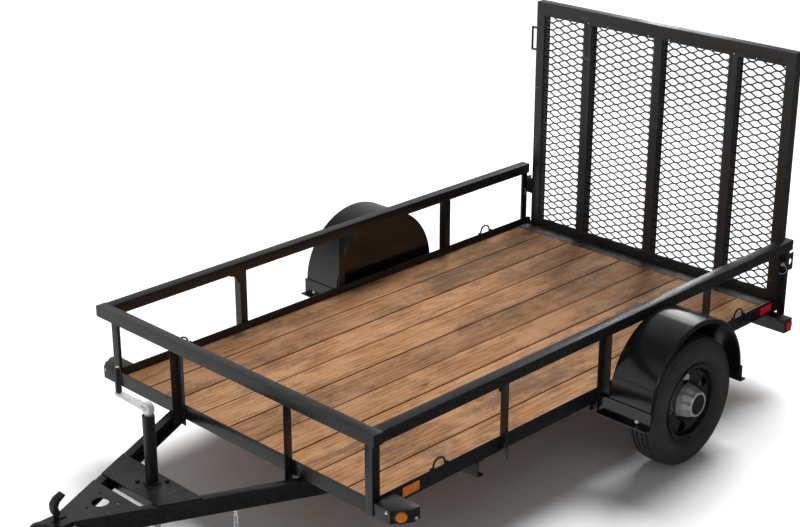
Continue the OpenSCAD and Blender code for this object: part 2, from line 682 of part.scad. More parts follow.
// ---- gate ----
gate_inner = gate_half - gate_leg;
function bar_y(i) = [-gate_half, -gate_half + 322, -gate_leg/2, gate_half - 322 - gate_leg, gate_inner][i];
module gate_shape() {
    // uprights: the face in front, the other leg running back from its left edge
    for (i = [0 : 4]) {
        y = bar_y(i);
        span([gate_x - gate_wall, y, gate_low], [gate_x, y + gate_leg, gate_top]);
        span([gate_x - gate_leg, y + gate_leg - gate_wall, gate_low], [gate_x, y + gate_leg, gate_top]);
    }
    span([gate_x - gate_wall, -gate_half, gate_top - gate_head], [gate_x, gate_half, gate_top]);
    span([gate_x - gate_leg, -gate_half, gate_top - gate_wall], [gate_x, gate_half, gate_top]);
    span([gate_x - gate_wall, -gate_half, gate_low], [gate_x, gate_half, gate_low + gate_foot]);
    span([gate_x - gate_leg, -gate_half, gate_low], [gate_x, gate_half, gate_low + gate_wall]);
    // bushes for the hinge bolts
    both_sides() translate([pivot_x, 0, pivot_z]) rod_y(12.5, gate_half - 60, gate_half);
    both_sides() latch_ear();
}
// Plate that the lock pin goes through, stiffened by a lug with a big round hole
ear_back = gate_x - gate_wall - 5.5;
module latch_ear() difference() {
    union() {
        span([ear_back, gate_half - 3, lug_z - 44], [ear_back + 6, half_width + 31, lug_z + 44]);
        span([-lug_reach, half_width + 22, lug_z - 44], [ear_back + fuse, half_width + 27, lug_z + 44]);
    }
    translate([0, lock_pin_y, latch_z]) rod_x(pin_r + 0.4, ear_back - 1, gate_x);
    translate([-lug_reach + lug_hole/2 + 10, 0, lug_z]) rod_y(lug_hole/2, half_width, half_width + 40);
}
hinge_bolt_r = 6.35;
pin_r = 6.3;
module gate_frame() color(steel) bed() difference() {
    gate_shape();
    both_sides() translate([pivot_x, 0, pivot_z]) rod_y(hinge_bolt_r + run_fit, gate_half - 58, gate_half + 1);
    // row of small holes along the top angle
    for (i = [0 : 11]) translate([gate_x - 20, -gate_half + 90 + i*(2*gate_half - 180)/11, gate_top - gate_head + 9])
        rod_x(3.5, 0, 30);
}
module gate_mesh() color(dark_steel) bed()
    // one panel between each pair of uprights
    for (i = [0 : 3]) span([gate_x - gate_wall - 3.2, bar_y(i) + gate_leg + 0.2, pivot_z + 16],
        [gate_x - gate_wall - 0.2, bar_y(i + 1) + gate_leg - gate_wall - 0.2, gate_top - gate_wall - 0.2]);
handle_z = 1100;
handle_half = 60;
handle_out = 34;
handle_rod = 6;
module gate_handle() color(steel) bed() translate([gate_x - 8, -gate_half - 0.2, handle_z]) {
    for (z = [-handle_half, handle_half]) translate([0, 0, z]) rod_y(handle_rod, -handle_out, 0);
    translate([0, -handle_out, 0]) {
        for (m = [0, 1]) mirror([0, 0, m]) translate([0, 0, handle_half]) sphere(r = handle_rod, $fn = 24);
        translate([0, 0, -handle_half]) cylinder(r = handle_rod, h = 2*handle_half);
    }
}
lug_in = gate_half + clear;
lug_thick = 8;

module hinge_bolts() both_sides() translate([pivot_x, 0, pivot_z]) {
    rod_y(hinge_bolt_r, gate_half - 52, lug_in + lug_thick + 2);
    translate([0, lug_in + lug_thick + 0.2, 0]) rotate([-90, 0, 0]) cylinder(r = 11, h = 8, $fn = 6);
}
module lock_pins() both_sides() translate([0, lock_pin_y, latch_z]) {
    flange = side_posts[0][0] + post_wall;
    rod_x(pin_r, ear_back - 5, flange + 2);
    rod_x(9.5, flange + 0.2, flange + 9);
}
module gate_pins() color(zinc) bed() { hinge_bolts(); lock_pins(); }

// ---- safety chains, hanging from bolts under the tongue ----
link_r = 3.5;
link_bend = 9.5;
link_half = 11;
link_pitch = 2*(link_half + link_bend - link_r) - 0.2;
chain_x = 3100;
module chain_link() rotate([90, 0, 0]) for (m = [0, 1]) mirror([0, m, 0]) {
    translate([0, link_half, 0]) rotate_extrude(angle = 180) translate([link_bend, 0])
        circle(r = link_r, $fn = 24);
    for (k = [-1, 1]) translate([k*link_bend, -0.01, 0]) rotate([-90, 0, 0])
        cylinder(r = link_r, h = link_half + 0.02, $fn = 24);
}
module tow_hook() rotate([90, 0, 0]) {
    hook_r = 4.5;
    rotate_extrude() translate([13, 0]) circle(r = hook_r, $fn = 24);
    translate([0, -13, 0]) rotate([90, 0, 0]) cylinder(r = hook_r, h = 34, $fn = 24);
    translate([15, -47, 0]) rotate([0, 0, 180]) rotate_extrude(angle = 200) translate([15, 0])
        circle(r = hook_r, $fn = 24);
}
module safety_chains() color(zinc) bed() both_sides()
    translate([chain_x, tongue_half(chain_x) - channel_flange/2/cos(tongue_angle), -channel_height]) {
        translate([0, 0, -8]) cylinder(r = 9, h = 7.8);
        // eye plate, then the links
        translate([-3, -10, -32]) difference() {
            cube([6, 20, 25]);
            translate([0, 10, 10]) rod_x(5.5, -1, 7);
        }
        translate([0, 0, -32 + 4.8 - link_half - link_bend + link_r]) {
            for (i = [0 : 2]) translate([0, 0, -i*link_pitch]) rotate([0, 0, 90*((i + 1)%2)]) chain_link();
            translate([0, 0, -2*link_pitch - link_half - link_bend + link_r - 9.2 + 0.9]) tow_hook();
        }
    }

frame_side_left();
frame_side_right();
frame_front();
frame_rear_sill();
deck_crossmembers();
deck_planks();
tongue_crossmember();
tongue_left();
tongue_right();
coupler();
coupler_latch();
jack_mount();
jack_outer_tube();
jack_leg();
jack_crank();
rail_left();
rail_right();
rail_front();
posts_left();
posts_right();
posts_front();
fender_left();
fender_right();
axle();
springs();
spring_fittings();
tyre_left();
tyre_right();
rim_left();
rim_right();
hub_left();
hub_right();
hub_cap_left();
hub_cap_right();
marker_boxes();
amber_lenses();
tail_bar();
red_lenses();
tie_loops();
gate_frame();
gate_mesh();
gate_handle();
gate_pins();
safety_chains();
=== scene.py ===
import bpy
import json
import math
import random
from mathutils import Matrix, Vector

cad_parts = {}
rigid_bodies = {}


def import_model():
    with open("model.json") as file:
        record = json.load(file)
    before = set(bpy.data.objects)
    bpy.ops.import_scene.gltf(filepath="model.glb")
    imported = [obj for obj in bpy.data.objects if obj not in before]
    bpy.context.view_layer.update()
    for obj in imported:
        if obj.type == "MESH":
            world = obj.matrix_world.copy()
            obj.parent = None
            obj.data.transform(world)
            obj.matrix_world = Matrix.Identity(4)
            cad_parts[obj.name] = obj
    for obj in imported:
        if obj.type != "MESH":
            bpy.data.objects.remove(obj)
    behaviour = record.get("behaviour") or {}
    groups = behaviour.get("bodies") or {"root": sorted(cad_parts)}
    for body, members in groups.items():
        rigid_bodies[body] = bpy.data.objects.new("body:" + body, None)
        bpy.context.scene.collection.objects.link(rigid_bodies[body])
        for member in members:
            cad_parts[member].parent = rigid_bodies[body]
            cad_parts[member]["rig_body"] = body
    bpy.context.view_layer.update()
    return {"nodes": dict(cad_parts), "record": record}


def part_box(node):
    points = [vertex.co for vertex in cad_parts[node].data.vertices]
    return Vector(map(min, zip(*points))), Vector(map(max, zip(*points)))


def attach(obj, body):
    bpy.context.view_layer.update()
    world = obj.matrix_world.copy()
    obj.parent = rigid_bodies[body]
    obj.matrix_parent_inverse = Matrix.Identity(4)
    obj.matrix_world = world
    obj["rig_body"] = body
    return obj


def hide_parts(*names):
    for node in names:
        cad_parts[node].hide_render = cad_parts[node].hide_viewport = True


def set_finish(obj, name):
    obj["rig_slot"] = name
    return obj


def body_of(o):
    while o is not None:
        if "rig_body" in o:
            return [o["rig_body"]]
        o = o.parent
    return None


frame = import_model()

nodes = frame["nodes"]
mm = 0.001
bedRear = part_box("deck_planks")[0].x - 0.088       # rear end of the bed frame
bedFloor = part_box("frame_front")[0].z              # underside of the bed frame
print("bed rear", round(bedRear, 4), "underside", round(bedFloor, 4))


def at(x, y, z):
    # a place on the bed, in millimetres from its rear end, its centre line and its underside
    return Vector((bedRear + x*mm, y*mm, bedFloor + z*mm))


# helpers for modelling
def clearSelection():
    if bpy.context.object and bpy.context.object.mode != "OBJECT":
        bpy.ops.object.mode_set(mode="OBJECT")
    bpy.ops.object.select_all(action="DESELECT")


def pick(obj):
    clearSelection()
    obj.select_set(True)
    bpy.context.view_layer.objects.active = obj


def selectFaces(obj, test):
    # selects the faces whose test is true, then goes into edit mode
    pick(obj)
    bpy.ops.object.mode_set(mode="EDIT")
    bpy.ops.mesh.select_mode(type="FACE")
    bpy.ops.mesh.select_all(action="DESELECT")
    bpy.ops.object.mode_set(mode="OBJECT")
    for face in obj.data.polygons:
        face.select = test(face)
    bpy.ops.object.mode_set(mode="EDIT")


def applyTransform(obj):
    pick(obj)
    bpy.ops.object.transform_apply(location=True, rotation=True, scale=True)


def applyModifiers(obj):
    pick(obj)
    for mod in list(obj.modifiers):
        bpy.ops.object.modifier_apply(modifier=mod.name)


def bevelEdges(obj, width, segments=2, angle=32):
    bevel = obj.modifiers.new("Bevel", "BEVEL")
    bevel.width = width
    bevel.segments = segments
    bevel.limit_method = "ANGLE"
    bevel.angle_limit = math.radians(angle)
    bevel.harden_normals = False
    applyModifiers(obj)


def smooth(obj, angle=35):
    pick(obj)
    bpy.ops.object.shade_smooth_by_angle(angle=math.radians(angle))


def fixNormals(obj):
    pick(obj)
    bpy.ops.object.mode_set(mode="EDIT")
    bpy.ops.mesh.select_all(action="SELECT")
    bpy.ops.mesh.remove_doubles(threshold=0.00002)
    bpy.ops.mesh.normals_make_consistent(inside=False)
    bpy.ops.object.mode_set(mode="OBJECT")


def finishPiece(obj, name, material, body, slot, replaced=()):
    clearSelection()
    obj.name = name
    obj.data.name = name
    obj.data.materials.clear()
    obj.data.materials.append(material)
    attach(obj, body)
    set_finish(obj, slot)
    if replaced:
        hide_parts(*replaced)
    return obj


def mirrored(obj, name, body, replaced=()):
    # the same piece on the trailer's other side, with its own mesh
    clearSelection()
    twin = obj.copy()
    twin.data = obj.data.copy()
    for key in list(twin.keys()):
        if key.startswith("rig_"):
            del twin[key]
    twin.parent = None
    twin.matrix_world = Matrix.Identity(4)
    bpy.context.collection.objects.link(twin)
    for v in twin.data.vertices:
        v.co.y = -v.co.y
    pick(twin)
    bpy.ops.object.mode_set(mode="EDIT")
    bpy.ops.mesh.select_all(action="SELECT")
    bpy.ops.mesh.flip_normals()
    bpy.ops.object.mode_set(mode="OBJECT")
    return finishPiece(twin, name, obj.data.materials[0], body, obj["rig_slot"], replaced)


def block(low, high, bevel=0.002, segments=2):
    # box between two corners, edges rounded
    clearSelection()
    low, high = Vector(low), Vector(high)
    bpy.ops.mesh.primitive_cube_add(size=1, location=(low + high)/2)
    obj = bpy.context.object
    obj.scale = high - low
    applyTransform(obj)
    if bevel:
        bevelEdges(obj, bevel, segments)
    return obj


def turned(profile, centre, axis="Y", steps=64, closed=True):
    # a shape spun about an axis through centre; the profile is (radius, along) in metres
    clearSelection()
    bpy.ops.mesh.primitive_circle_add(vertices=len(profile), radius=0.1, fill_type="NOTHING")
    obj = bpy.context.object
    for v, (r, h) in zip(obj.data.vertices, profile):
        v.co = (r, h, 0)
    bpy.ops.object.mode_set(mode="EDIT")
    bpy.ops.mesh.select_all(action="SELECT")
    if not closed:
        bpy.ops.mesh.select_all(action="DESELECT")
        bpy.ops.object.mode_set(mode="OBJECT")
        last = len(profile) - 1
        for e in obj.data.edges:
            e.select = set(e.vertices) == {0, last}
        bpy.ops.object.mode_set(mode="EDIT")
        bpy.ops.mesh.select_mode(type="EDGE")
        bpy.ops.mesh.delete(type="EDGE")
        bpy.ops.mesh.select_all(action="SELECT")
    bpy.ops.mesh.spin(steps=steps, angle=math.tau, center=(0, 0, 0), axis=(0, 1, 0))
    bpy.ops.mesh.select_all(action="SELECT")
    bpy.ops.mesh.remove_doubles(threshold=0.00002)
    bpy.ops.mesh.normals_make_consistent(inside=False)
    bpy.ops.object.mode_set(mode="OBJECT")
    if axis == "Z":
        turn = Matrix.Rotation(math.pi/2, 4, "X")
    elif axis == "X":
        turn = Matrix.Rotation(-math.pi/2, 4, "Z")
    elif axis == "Y":
        turn = Matrix.Identity(4)
    else:
        turn = Vector((0, 1, 0)).rotation_difference(Vector(axis)).to_matrix().to_4x4()
    obj.data.transform(Matrix.Translation(centre) @ turn)
    return obj


def joined(parts):
    clearSelection()
    for p in parts:
        p.select_set(True)
    bpy.context.view_layer.objects.active = parts[0]
    bpy.ops.object.join()
    return bpy.context.object


def repeated(obj, places):
    # copies of one shape, shifted to each place, as one object
    parts = [obj]
    for p in places[1:]:
        twin = obj.copy()
        twin.data = obj.data.copy()
        twin.data.transform(Matrix.Translation(Vector(p) - Vector(places[0])))
        bpy.context.collection.objects.link(twin)
        parts.append(twin)
    return joined(parts)


def hexHead(place, axis, across=0.019, high=0.008, washer=0.0014):
    # a bolt head on its washer
    r = across/1.732
    clearSelection()
    bpy.ops.mesh.primitive_cylinder_add(vertices=6, radius=r, depth=high)
    head = bpy.context.object
    selectFaces(head, lambda f: f.normal.z > 0.9)
    bpy.ops.mesh.inset(thickness=r*0.12)
    bpy.ops.transform.translate(value=(0, 0, high*0.12))
    bpy.ops.object.mode_set(mode="OBJECT")
    head.data.transform(Matrix.Translation((0, 0, high/2 + washer)))
    clearSelection()
    bpy.ops.mesh.primitive_cylinder_add(vertices=24, radius=r*1.25, depth=washer)
    ring = bpy.context.object
    ring.data.transform(Matrix.Translation((0, 0, washer/2)))
    bolt = joined([head, ring])
    bevelEdges(bolt, 0.0004, 1)
    turn = Vector((0, 0, 1)).rotation_difference(Vector(axis)).to_matrix().to_4x4()
    bolt.data.transform(Matrix.Translation(place) @ turn)
    return bolt


# shader groups
def newGroup(name, inputs, outputs):
    group = bpy.data.node_groups.new(name, "ShaderNodeTree")
    for label, kind, value in inputs:
        socket = group.interface.new_socket(name=label, in_out="INPUT", socket_type=kind)
        if value is not None:
            socket.default_value = value
    for label, kind in outputs:
        group.interface.new_socket(name=label, in_out="OUTPUT", socket_type=kind)
    return group, group.nodes.new("NodeGroupInput"), group.nodes.new("NodeGroupOutput")


def node(tree, kind, links=None, **values):
    n = tree.nodes.new(kind)
    for key, value in values.items():
        setattr(n, key, value)
    for socket, source in (links or {}).items():
        target = n.inputs[socket]
        if isinstance(source, bpy.types.NodeSocket):
            tree.links.new(source, target)
        else:
            target.default_value = source
    return n


def ramp(tree, source, stops):
    r = node(tree, "ShaderNodeValToRGB", {0: source})
    els = r.color_ramp.elements
    while len(els) < len(stops):
        els.new(0.5)
    for e, (pos, colour) in zip(els, stops):
        e.position = pos
        e.color = (*colour, 1) if len(colour) == 3 else colour
    return r.outputs["Color"]


def mixColour(tree, factor, a, b, mode="MIX"):
    m = node(tree, "ShaderNodeMix", data_type="RGBA", blend_type=mode)
    for index, value in ((0, factor), (6, a), (7, b)):
        if isinstance(value, bpy.types.NodeSocket):
            tree.links.new(value, m.inputs[index])
        else:
            m.inputs[index].default_value = value
    return m.outputs[2]


def maths(tree, operation, a, b=None, clamp=False):
    m = node(tree, "ShaderNodeMath", operation=operation, use_clamp=clamp)
    for index, value in ((0, a), (1, b)):
        if value is None:
            continue
        if isinstance(value, bpy.types.NodeSocket):
            tree.links.new(value, m.inputs[index])
        else:
            m.inputs[index].default_value = value
    return m.outputs[0]


def makeGrimeGroup():
    # patches of dust and scuffs that lie more on faces that look up
    g, gi, go = newGroup("Grime", [("Vector", "NodeSocketVector", None), ("Scale", "NodeSocketFloat", 6.0),
        ("Amount", "NodeSocketFloat", 0.5), ("Upward", "NodeSocketFloat", 0.5)],
        [("Mask", "NodeSocketFloat"), ("Fine", "NodeSocketFloat")])
    wide = node(g, "ShaderNodeTexNoise", {"Vector": gi.outputs[0], "Scale": gi.outputs[1], "Detail": 6.0,
        "Roughness": 0.62})
    fineScale = maths(g, "MULTIPLY", gi.outputs[1], 14.0)
    fine = node(g, "ShaderNodeTexNoise", {"Vector": gi.outputs[0], "Scale": fineScale, "Detail": 4.0,
        "Roughness": 0.7})
    geometry = node(g, "ShaderNodeNewGeometry")
    facing = node(g, "ShaderNodeSeparateXYZ", {0: geometry.outputs["Normal"]})
    up = maths(g, "MAXIMUM", facing.outputs["Z"], 0.0)
    weight = maths(g, "MULTIPLY", up, gi.outputs[3])
    weight = maths(g, "ADD", weight, 0.35)
    patch = node(g, "ShaderNodeMapRange", {0: wide.outputs[0], 1: 0.42, 2: 0.68, 3: 0.0, 4: 1.0})
    speck = node(g, "ShaderNodeMapRange", {0: fine.outputs[0], 1: 0.4, 2: 0.7, 3: 0.35, 4: 1.0})
    mask = maths(g, "MULTIPLY", patch.outputs[0], speck.outputs[0])
    mask = maths(g, "MULTIPLY", mask, weight)
    mask = maths(g, "MULTIPLY", mask, gi.outputs[2], clamp=True)
    g.links.new(mask, go.inputs[0])
    g.links.new(fine.outputs[0], go.inputs[1])
    return g


def makeScratchGroup():
    # thin scattered scratches, one set along each of two directions
    g, gi, go = newGroup("Scratches", [("Vector", "NodeSocketVector", None),
        ("Scale", "NodeSocketFloat", 30.0), ("Amount", "NodeSocketFloat", 0.5)],
        [("Mask", "NodeSocketFloat")])
    total = None
    for turn, stretch in ((0.35, (1, 14, 9)), (-0.5, (12, 1, 8))):
        m = node(g, "ShaderNodeMapping", {"Vector": gi.outputs[0], "Rotation": (turn, turn/2, turn),
            "Scale": stretch})
        n = node(g, "ShaderNodeTexNoise", {"Vector": m.outputs[0], "Scale": gi.outputs[1], "Detail": 2.0})
        line = node(g, "ShaderNodeMapRange", {0: n.outputs[0], 1: 0.69, 2: 0.74, 3: 0.0, 4: 1.0})
        total = line.outputs[0] if total is None else maths(g, "MAXIMUM", total, line.outputs[0])
    g.links.new(maths(g, "MULTIPLY", total, gi.outputs[2], clamp=True), go.inputs[0])
    return g


grimeGroup = makeGrimeGroup()
scratchGroup = makeScratchGroup()


def newMaterial(name):
    m = bpy.data.materials.new(name)
    m.use_nodes = True
    tree = m.node_tree
    shader = tree.nodes["Principled BSDF"]
    coords = tree.nodes.new("ShaderNodeTexCoord").outputs["Object"]
    return m, tree, shader, coords


def useGroup(tree, group, links):
    n = tree.nodes.new("ShaderNodeGroup")
    n.node_tree = group
    for socket, source in links.items():
        if isinstance(source, bpy.types.NodeSocket):
            tree.links.new(source, n.inputs[socket])
        else:
            n.inputs[socket].default_value = source
    return n


def paintMaterial(name, settings):
    m, tree, shader, coords = newMaterial(name)
    grime = useGroup(tree, grimeGroup, {"Vector": coords, "Scale": settings["grimeScale"],
        "Amount": settings["grime"], "Upward": settings["upward"]})
    scratch = useGroup(tree, scratchGroup, {"Vector": coords, "Scale": settings["scratchScale"],
        "Amount": settings["scratch"]})
    mottle = node(tree, "ShaderNodeTexNoise", {"Vector": coords, "Scale": 3.0, "Detail": 3.0})
    base = mixColour(tree, mottle.outputs[0], (*settings["dark"], 1), (*settings["light"], 1))
    base = mixColour(tree, grime.outputs["Mask"], base, (*settings["dust"], 1))
    base = mixColour(tree, scratch.outputs["Mask"], base, (*settings["bare"], 1))
    tree.links.new(base, shader.inputs["Base Color"])
    rough = node(tree, "ShaderNodeMapRange", {0: grime.outputs["Fine"], 1: 0.3, 2: 0.7,
        3: settings["rough"][0], 4: settings["rough"][1]})
    soiled = maths(tree, "MULTIPLY", grime.outputs["Mask"], 0.35)
    rough = maths(tree, "ADD", rough.outputs[0], soiled, clamp=True)
    tree.links.new(rough, shader.inputs["Roughness"])
    peel = node(tree, "ShaderNodeTexNoise", {"Vector": coords, "Scale": settings["peelScale"],
        "Detail": 2.0})
    bump = node(tree, "ShaderNodeBump", {"Height": peel.outputs[0], "Strength": settings["peel"],
        "Distance": 0.0006})
    tree.links.new(bump.outputs[0], shader.inputs["Normal"])
    shader.inputs["Coat Weight"].default_value = settings["coat"]
    shader.inputs["Coat Roughness"].default_value = 0.22
    shader.inputs["Specular IOR Level"].default_value = settings["specular"]
    return m


paintSettings = {"dark": (0.0055, 0.0055, 0.0057), "light": (0.0115, 0.0115, 0.0117),
    "dust": (0.05, 0.048, 0.044), "bare": (0.12, 0.12, 0.115), "rough": (0.24, 0.36),
    "grimeScale": 5.0, "grime": 0.4, "upward": 0.9,
    "scratchScale": 7.0, "scratch": 0.25, "peelScale": 90.0, "peel": 0.04, "coat": 0.0, "specular": 0.55}
blackPaint = paintMaterial("blackPaint", paintSettings)
wornSettings = dict(paintSettings, dark=(0.02, 0.02, 0.0195), light=(0.05, 0.05, 0.048),
    dust=(0.2, 0.19, 0.175), bare=(0.3, 0.3, 0.29), rough=(0.42, 0.6), grime=1.5, upward=0.5, scratch=0.9)
wornPaint = paintMaterial("wornPaint", wornSettings)
gateSettings = dict(paintSettings, dark=(0.01, 0.01, 0.01), light=(0.024, 0.024, 0.023), grime=0.8,
    scratch=0.7, rough=(0.36, 0.5))
gatePaint = paintMaterial("gatePaint", gateSettings)
underSettings = dict(paintSettings, grime=0.8, upward=0.2, rough=(0.45, 0.6))
underPaint = paintMaterial("underPaint", underSettings)
rimSettings = dict(paintSettings, dark=(0.012, 0.012, 0.0122), light=(0.022, 0.022, 0.0222), grime=0.5,
    upward=0.1, rough=(0.24, 0.36), specular=0.45)
rimPaint = paintMaterial("rimPaint", rimSettings)
fenderSettings = dict(paintSettings, rough=(0.15, 0.19), grime=0.2, scratch=0.08, peel=0.02)
fenderPaint = paintMaterial("fenderPaint", fenderSettings)


def metalMaterial(name, light, dark, rough, scale=40.0, metallic=1.0):
    m, tree, shader, coords = newMaterial(name)
    grime = useGroup(tree, grimeGroup, {"Vector": coords, "Scale": scale, "Amount": 1.6, "Upward": 0.2})
    base = mixColour(tree, grime.outputs["Mask"], (*light, 1), (*dark, 1))
    tree.links.new(base, shader.inputs["Base Color"])
    spread = node(tree, "ShaderNodeMapRange", {0: grime.outputs["Fine"], 1: 0.3, 2: 0.7,
        3: rough[0], 4: rough[1]})
    tree.links.new(spread.outputs[0], shader.inputs["Roughness"])
    bump = node(tree, "ShaderNodeBump", {"Height": grime.outputs["Fine"], "Strength": 0.15,
        "Distance": 0.0004})
    tree.links.new(bump.outputs[0], shader.inputs["Normal"])
    shader.inputs["Metallic"].default_value = metallic
    return m


zinc = metalMaterial("zincPlate", (0.82, 0.83, 0.84), (0.4, 0.4, 0.39), (0.26, 0.45), 40.0, 0.6)
hubSilver = metalMaterial("hubSilver", (0.66, 0.66, 0.65), (0.2, 0.2, 0.195), (0.3, 0.5), 34.0, 0.55)
gateMetal = metalMaterial("meshMetal", (0.012, 0.012, 0.012), (0.04, 0.039, 0.037), (0.4, 0.55), 12.0, 0.0)


def plasticMaterial(name, colour, rough=0.35, clear=0.0):
    m, tree, shader, coords = newMaterial(name)
    tint = node(tree, "ShaderNodeTexNoise", {"Vector": coords, "Scale": 60.0, "Detail": 3.0})
    base = mixColour(tree, tint.outputs[0], (*colour, 1), (*[c*0.7 for c in colour], 1))
    tree.links.new(base, shader.inputs["Base Color"])
    spread = node(tree, "ShaderNodeMapRange", {0: tint.outputs[0], 3: rough - 0.08, 4: rough + 0.08})
    tree.links.new(spread.outputs[0], shader.inputs["Roughness"])
    shader.inputs["Coat Weight"].default_value = clear
    return m


def lensMaterial(name, colour):
    # moulded lens: fine pyramids under a clear skin, with a faint painted glow in its own colour
    m, tree, shader, coords = newMaterial(name)
    cells = node(tree, "ShaderNodeTexVoronoi", {"Vector": coords, "Scale": 330.0})
    base = mixColour(tree, cells.outputs["Distance"], (*colour, 1), (*[c*0.45 for c in colour], 1))
    tree.links.new(base, shader.inputs["Base Color"])
    # painted glow: the lens colour also feeds a faint emission, though no lamp in it is lit
    tree.links.new(base, shader.inputs["Emission Color"])
    shader.inputs["Emission Strength"].default_value = 0.1
    shader.inputs["Roughness"].default_value = 0.24
    shader.inputs["Specular IOR Level"].default_value = 0.3
    shader.inputs["Coat Weight"].default_value = 0.1
    bump = node(tree, "ShaderNodeBump", {"Height": cells.outputs["Distance"], "Strength": 0.35,
        "Distance": 0.0008})
    tree.links.new(bump.outputs[0], shader.inputs["Normal"])
    return m


amberLens = lensMaterial("amberLens", (0.62, 0.17, 0.015))
redLens = lensMaterial("redLens", (0.5, 0.008, 0.014))
palePlastic = plasticMaterial("palePlastic", (0.5, 0.5, 0.48), 0.4)
blackPlastic = plasticMaterial("blackPlastic", (0.014, 0.014, 0.015), 0.38, 0.2)


def rubberMaterial():
    m, tree, shader, coords = newMaterial("tyreRubber")
    grime = useGroup(tree, grimeGroup, {"Vector": coords, "Scale": 9.0, "Amount": 0.9, "Upward": 0.1})
    base = mixColour(tree, grime.outputs["Mask"], (0.024, 0.024, 0.0245, 1), (0.075, 0.07, 0.063, 1))
    tree.links.new(base, shader.inputs["Base Color"])
    rough = node(tree, "ShaderNodeMapRange", {0: grime.outputs["Fine"], 1: 0.3, 2: 0.7, 3: 0.58, 4: 0.78})
    tree.links.new(rough.outputs[0], shader.inputs["Roughness"])
    bump = node(tree, "ShaderNodeBump", {"Height": grime.outputs["Fine"], "Strength": 0.2,
        "Distance": 0.0005})
    tree.links.new(bump.outputs[0], shader.inputs["Normal"])
    return m


tyreRubber = rubberMaterial()

deckSettings = {"planks": 9, "halfWidth": 0.825, "light": (0.335, 0.172, 0.08), "mid": (0.262, 0.13, 0.06),
    "dark": (0.1, 0.047, 0.022), "pale": (0.42, 0.24, 0.128), "soil": (0.088, 0.058, 0.041), "grain": 46.0,
    "edge": 0.0034}


def woodMaterial(s):
    m, tree, shader, coords = newMaterial("deckWood")
    split = node(tree, "ShaderNodeSeparateXYZ", {0: coords})
    pitch = 2*s["halfWidth"]/s["planks"]
    index = maths(tree, "FLOOR", maths(tree, "DIVIDE",
        maths(tree, "ADD", split.outputs["Y"], s["halfWidth"]), pitch))
    tone = node(tree, "ShaderNodeTexWhiteNoise", noise_dimensions="1D")
    tree.links.new(index, tone.inputs["W"])
    # each plank takes its grain from another stretch of wood
    shift = maths(tree, "MULTIPLY", index, 7.31)
    place = node(tree, "ShaderNodeCombineXYZ", {0: maths(tree, "ADD", split.outputs["X"], shift),
        1: split.outputs["Y"], 2: split.outputs["Z"]})
    stretched = node(tree, "ShaderNodeMapping", {"Vector": place.outputs[0], "Scale": (0.05, 1.0, 1.0)})
    warp = node(tree, "ShaderNodeTexNoise", {"Vector": stretched.outputs[0], "Scale": 5.0, "Detail": 2.0})
    offset = mixColour(tree, 0.06, stretched.outputs[0], warp.outputs["Color"], "ADD")
    rings = node(tree, "ShaderNodeTexWave", {"Vector": offset, "Scale": 12.0, "Distortion": 6.0,
        "Detail": 4.0, "Detail Scale": 2.0, "Detail Roughness": 0.6}, wave_type="BANDS", bands_direction="Y")
    fibre = node(tree, "ShaderNodeTexNoise", {"Vector": stretched.outputs[0], "Scale": s["grain"]*5,
        "Detail": 5.0, "Roughness": 0.7})
    broad = node(tree, "ShaderNodeMapping", {"Vector": place.outputs[0], "Scale": (0.35, 1.0, 1.0)})
    patches = node(tree, "ShaderNodeTexNoise", {"Vector": broad.outputs[0], "Scale": 8.0, "Detail": 10.0,
        "Roughness": 0.8})
    smear = node(tree, "ShaderNodeMapping", {"Vector": coords, "Scale": (0.42, 1.0, 1.0)})
    stain = node(tree, "ShaderNodeTexNoise", {"Vector": smear.outputs[0], "Scale": 3.0, "Detail": 12.0,
        "Roughness": 0.8})
    knots = node(tree, "ShaderNodeTexVoronoi", {"Vector": broad.outputs[0], "Scale": 5.5})
    grain = maths(tree, "ADD", maths(tree, "MULTIPLY", rings.outputs["Fac"], 0.2),
        maths(tree, "MULTIPLY", fibre.outputs[0], 0.8))
    colour = ramp(tree, grain, [(0.28, s["dark"]), (0.46, s["mid"]), (0.68, s["light"])])
    # worn lighter along the middle of the load area, darker where dirt has sat
    pale = ramp(tree, patches.outputs[0], [(0.46, (0, 0, 0)), (0.57, (1, 1, 1))])
    colour = mixColour(tree, maths(tree, "MULTIPLY", pale, 0.6), colour, (*s["pale"], 1))
    soil = ramp(tree, stain.outputs[0], [(0.5, (0, 0, 0)), (0.6, (1, 1, 1))])
    colour = mixColour(tree, maths(tree, "MULTIPLY", soil, 0.7), colour, (*s["soil"], 1))
    hue = maths(tree, "ADD", maths(tree, "MULTIPLY", tone.outputs["Value"], 0.3), 0.84)
    shade = node(tree, "ShaderNodeCombineXYZ", {0: hue, 1: hue, 2: hue})
    colour = mixColour(tree, 1.0, colour, shade.outputs[0], "MULTIPLY")
    knot = ramp(tree, knots.outputs["Distance"], [(0.02, (1, 1, 1)), (0.07, (0, 0, 0))])
    colour = mixColour(tree, maths(tree, "MULTIPLY", knot, 0.7), colour, (0.045, 0.022, 0.012, 1))
    # darker along the joints between boards
    across = maths(tree, "FRACT", maths(tree, "DIVIDE",
        maths(tree, "ADD", split.outputs["Y"], s["halfWidth"]), pitch))
    nearest = maths(tree, "MINIMUM", across, maths(tree, "SUBTRACT", 1.0, across))
    seam = node(tree, "ShaderNodeMapRange", {0: nearest, 1: 0.012, 2: 0.036, 3: 0.85, 4: 0.0})
    colour = mixColour(tree, seam.outputs[0], colour, (0.03, 0.018, 0.011, 1))
    tree.links.new(colour, shader.inputs["Base Color"])
    rough = node(tree, "ShaderNodeMapRange", {0: fibre.outputs[0], 1: 0.3, 2: 0.7, 3: 0.52, 4: 0.8})
    tree.links.new(rough.outputs[0], shader.inputs["Roughness"])
    bump = node(tree, "ShaderNodeBump", {"Height": grain, "Strength": 0.35, "Distance": 0.0009})
    tree.links.new(bump.outputs[0], shader.inputs["Normal"])
    shader.inputs["Specular IOR Level"].default_value = 0.18
    return m


deckWood = woodMaterial(deckSettings)
print("materials made")

